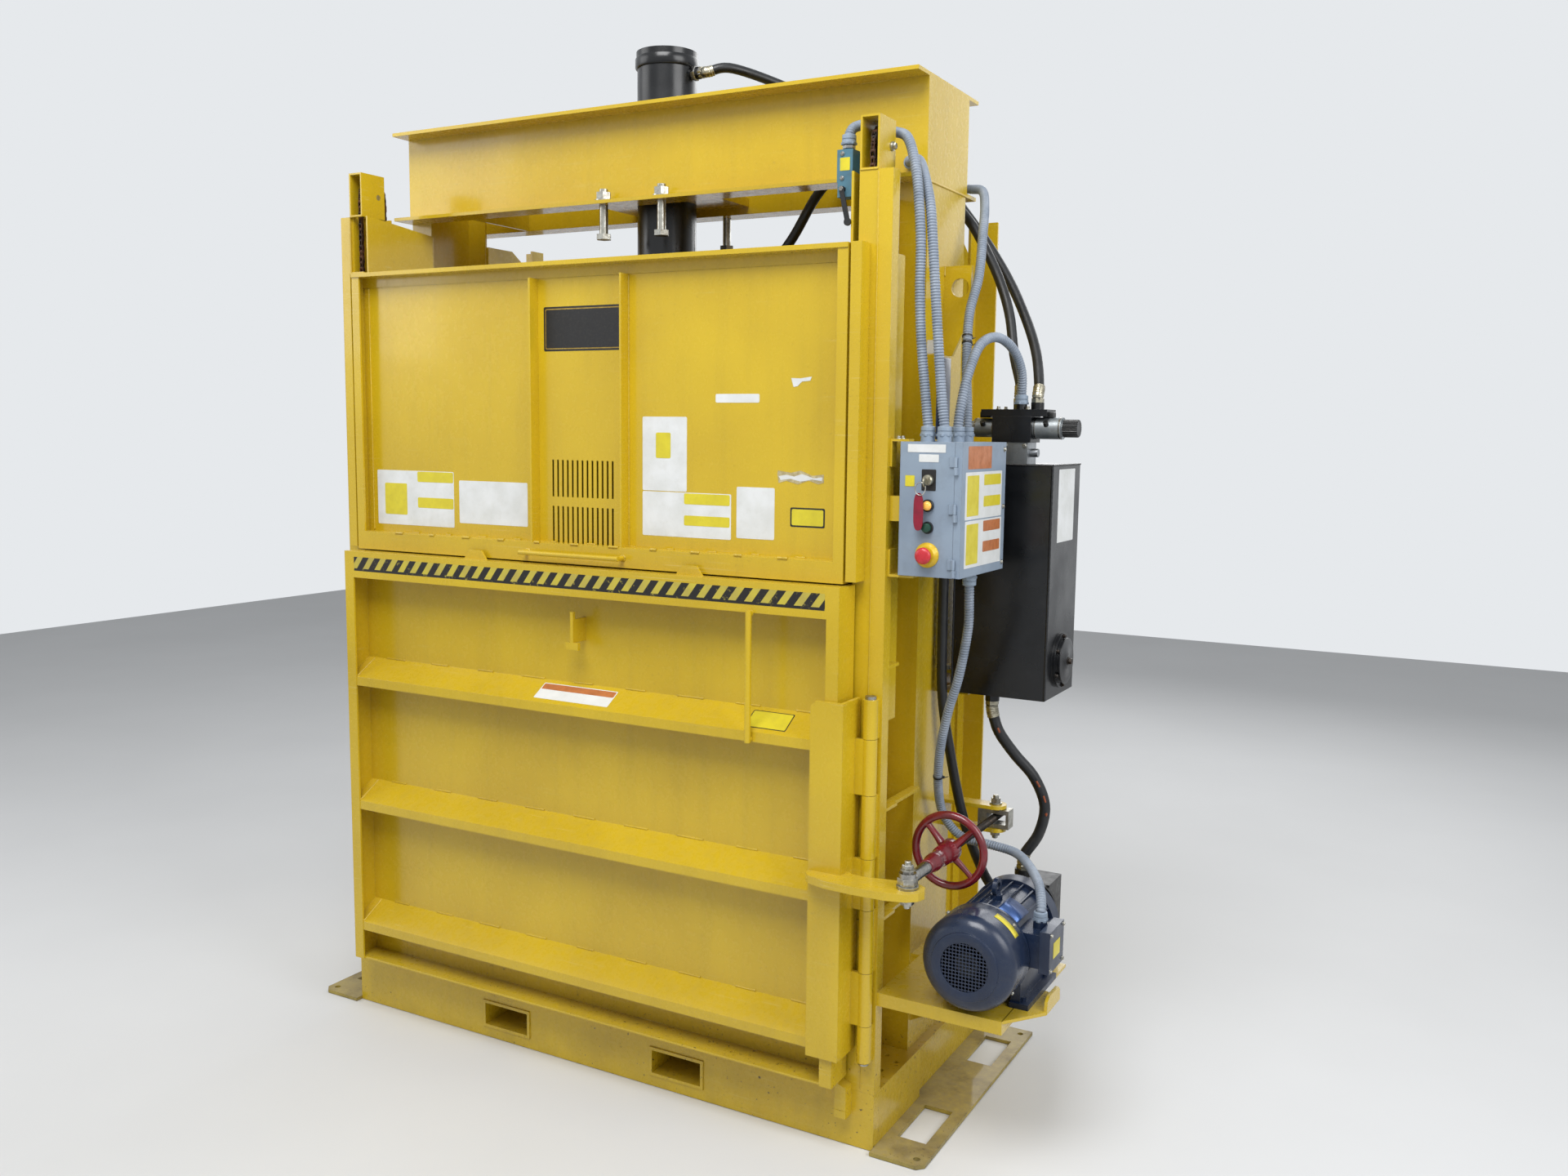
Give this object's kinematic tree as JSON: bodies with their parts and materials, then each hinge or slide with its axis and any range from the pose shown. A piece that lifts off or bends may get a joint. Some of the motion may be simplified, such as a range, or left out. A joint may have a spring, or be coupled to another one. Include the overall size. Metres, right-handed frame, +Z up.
{
  "type": "vertical recycling baler",
  "caption": "Tall yellow press frame with a lifting feed gate, ribbed hinged lower door, screw-clamped latch bar, overhead ram, side tank, motor and control box.",
  "frame": {"origin": "floor level under the centre of the base", "axes": "+Z up, -Y towards the front with the gate and the door, +X towards the side with the power unit"},
  "size_m": [2.346, 0.993, 2.876],
  "materials": {
    "yellow_paint": "glossy enamel with scratches and grime",
    "worn_floor_paint": "worn, dirty enamel",
    "zinc_steel": "zinc plated",
    "black_paint": "satin",
    "rod_chrome": "polished",
    "machined_aluminium": "machined",
    "coil_plastic": "matte",
    "motor_paint": "satin",
    "black_plastic": "matte",
    "grey_enclosure_paint": "textured powder coat",
    "yellow_plastic": "gloss",
    "red_plastic": "gloss",
    "lamp_plastic": "gloss",
    "green_plastic": "gloss",
    "switch_paint": "satin",
    "chain_steel": "oily and rusty",
    "dark_steel": "dull",
    "wheel_paint": "glossy enamel",
    "conduit_plastic": "corrugated, matte",
    "hose_rubber": "smooth rubber"
  },
  "bodies": {
    "frame": {"base_frame": "yellow_paint", "foot_plates": "worn_floor_paint", "side_walls": "yellow_paint", "back_wall": "yellow_paint", "front_posts": "yellow_paint", "columns": "yellow_paint", "crown_channels": "yellow_paint", "sprocket_housings": "yellow_paint", "lifting_eyes": "yellow_paint", "guide_bars": "yellow_paint", "equipment_brackets": "yellow_paint", "motor_shelf": "yellow_paint", "hinge_knuckles": "yellow_paint", "pivot_pins": "zinc_steel", "screw_anchor": "yellow_paint", "ram_cylinder": "black_paint", "crown_bolts": "zinc_steel", "oil_tank": "black_paint", "valve_manifold": "machined_aluminium", "valve_body": "black_paint", "valve_coils": "coil_plastic", "motor_body": "motor_paint", "motor_fan_cover": "motor_paint", "hydraulic_pump": "black_paint", "control_box": "grey_enclosure_paint", "stop_button_collar": "yellow_plastic", "pilot_light": "lamp_plastic", "limit_switch": "switch_paint", "gate_chains": "chain_steel", "weight_chains": "chain_steel", "chain_wraps": "chain_steel", "conduit_switch": "conduit_plastic", "conduit_lamp": "conduit_plastic", "conduit_crown": "conduit_plastic", "conduit_valve": "conduit_plastic", "conduit_motor": "conduit_plastic", "hose_raise": "hose_rubber", "hose_lower": "hose_rubber", "hose_suction": "hose_rubber", "hose_return": "hose_rubber"},
    "ram": {"piston_rod": "rod_chrome", "platen": "yellow_paint"},
    "motor_fan_rotor": {"motor_fan": "black_plastic"},
    "lid": {"control_box_lid": "grey_enclosure_paint"},
    "stop": {"stop_button": "red_plastic"},
    "key": {"key_switch": "black_plastic"},
    "start": {"push_button": "green_plastic"},
    "switch_lever": {"limit_switch_lever": "black_plastic"},
    "left_wheel": {"left_sprocket": "chain_steel"},
    "right_wheel": {"right_sprocket": "chain_steel"},
    "left_weight": {"left_counterweight": "dark_steel"},
    "right_weight": {"right_counterweight": "dark_steel"},
    "gate": {"gate_frame": "yellow_paint", "gate_panels": "yellow_paint"},
    "door": {"lower_door": "yellow_paint"},
    "latch": {"latch_bar": "yellow_paint"},
    "swivel": {"screw_swivel": "zinc_steel"},
    "screw": {"latch_screw": "dark_steel", "handwheel": "wheel_paint"},
    "nut": {"screw_nut": "zinc_steel"}
  },
  "joints": [
    {"name": "gate_slide", "type": "slide", "parent": "frame", "child": "gate", "axis": [0, 0, 1], "range_m": [0, 0.65], "deforming": ["gate_chains"]},
    {"name": "left_sprocket_turn", "type": "hinge", "parent": "frame", "child": "left_wheel", "pos_m": [-0.833, -0.339, 2.483], "axis": [1, 0, 0], "range_deg": [-815, 0]},
    {"name": "right_sprocket_turn", "type": "hinge", "parent": "frame", "child": "right_wheel", "pos_m": [0.833, -0.339, 2.483], "axis": [1, 0, 0], "range_deg": [-815, 0]},
    {"name": "left_weight_slide", "type": "slide", "parent": "frame", "child": "left_weight", "axis": [0, 0, 1], "range_m": [-0.652, 0], "deforming": ["weight_chains"]},
    {"name": "right_weight_slide", "type": "slide", "parent": "frame", "child": "right_weight", "axis": [0, 0, 1], "range_m": [-0.652, 0]},
    {"name": "ram_slide", "type": "slide", "parent": "frame", "child": "ram", "axis": [0, 0, 1], "range_m": [-0.66, 0]},
    {"name": "lower_door_swing", "type": "hinge", "parent": "frame", "child": "door", "pos_m": [-0.843, -0.425, 0.8155], "axis": [0, 0, 1], "range_deg": [-110, 0]},
    {"name": "latch_swing", "type": "hinge", "parent": "frame", "child": "latch", "pos_m": [0.873, -0.424, 0.717], "axis": [0, 0, 1], "range_deg": [0, 60]},
    {"name": "screw_swivel_turn", "type": "hinge", "parent": "latch", "child": "swivel", "pos_m": [1.015, -0.505, 0.762], "axis": [0, 0, 1], "range_deg": [-60, 0]},
    {"name": "handwheel_spin", "type": "hinge", "parent": "swivel", "child": "screw", "pos_m": [1.015, -0.24, 0.762], "axis": [0, 1, 0], "continuous": true},
    {"name": "screw_nut_turn", "type": "hinge", "parent": "frame", "child": "nut", "pos_m": [1.015, 0.1, 0.762], "axis": [0, 0, 1], "range_deg": [-2, 2]},
    {"name": "control_box_lid_swing", "type": "hinge", "parent": "frame", "child": "lid", "pos_m": [1.067, -0.403, 1.631], "axis": [0, 0, 1], "range_deg": [-110, 0]},
    {"name": "key_switch_turn", "type": "hinge", "parent": "frame", "child": "key", "pos_m": [0.999, -0.405, 1.701], "axis": [0, 1, 0], "range_deg": [0, 90]},
    {"name": "push_button_press", "type": "slide", "parent": "frame", "child": "start", "axis": [0, 1, 0], "range_m": [0, 0.004], "stiffness_N_per_m": 400},
    {"name": "stop_button_press", "type": "slide", "parent": "frame", "child": "stop", "axis": [0, 1, 0], "range_m": [0, 0.006], "stiffness_N_per_m": 500},
    {"name": "switch_lever_turn", "type": "hinge", "parent": "frame", "child": "switch_lever", "pos_m": [0.762, -0.409, 2.382], "axis": [0, 1, 0], "range_deg": [-30, 30], "stiffness_Nm_per_rad": 0.3},
    {"name": "motor_fan_spin", "type": "hinge", "parent": "frame", "child": "motor_fan_rotor", "pos_m": [1.138, -0.405, 0.552], "axis": [0, 1, 0], "continuous": true}
  ],
  "couplings": [
    {"joint": "left_sprocket_turn", "follows": "gate_slide", "rad_per_m": -21.739},
    {"joint": "right_sprocket_turn", "follows": "gate_slide", "rad_per_m": -21.739},
    {"joint": "left_weight_slide", "follows": "gate_slide", "ratio": -1},
    {"joint": "right_weight_slide", "follows": "gate_slide", "ratio": -1},
    {"joint": "screw_swivel_turn", "follows": "latch_swing", "ratio": -1}
  ]
}
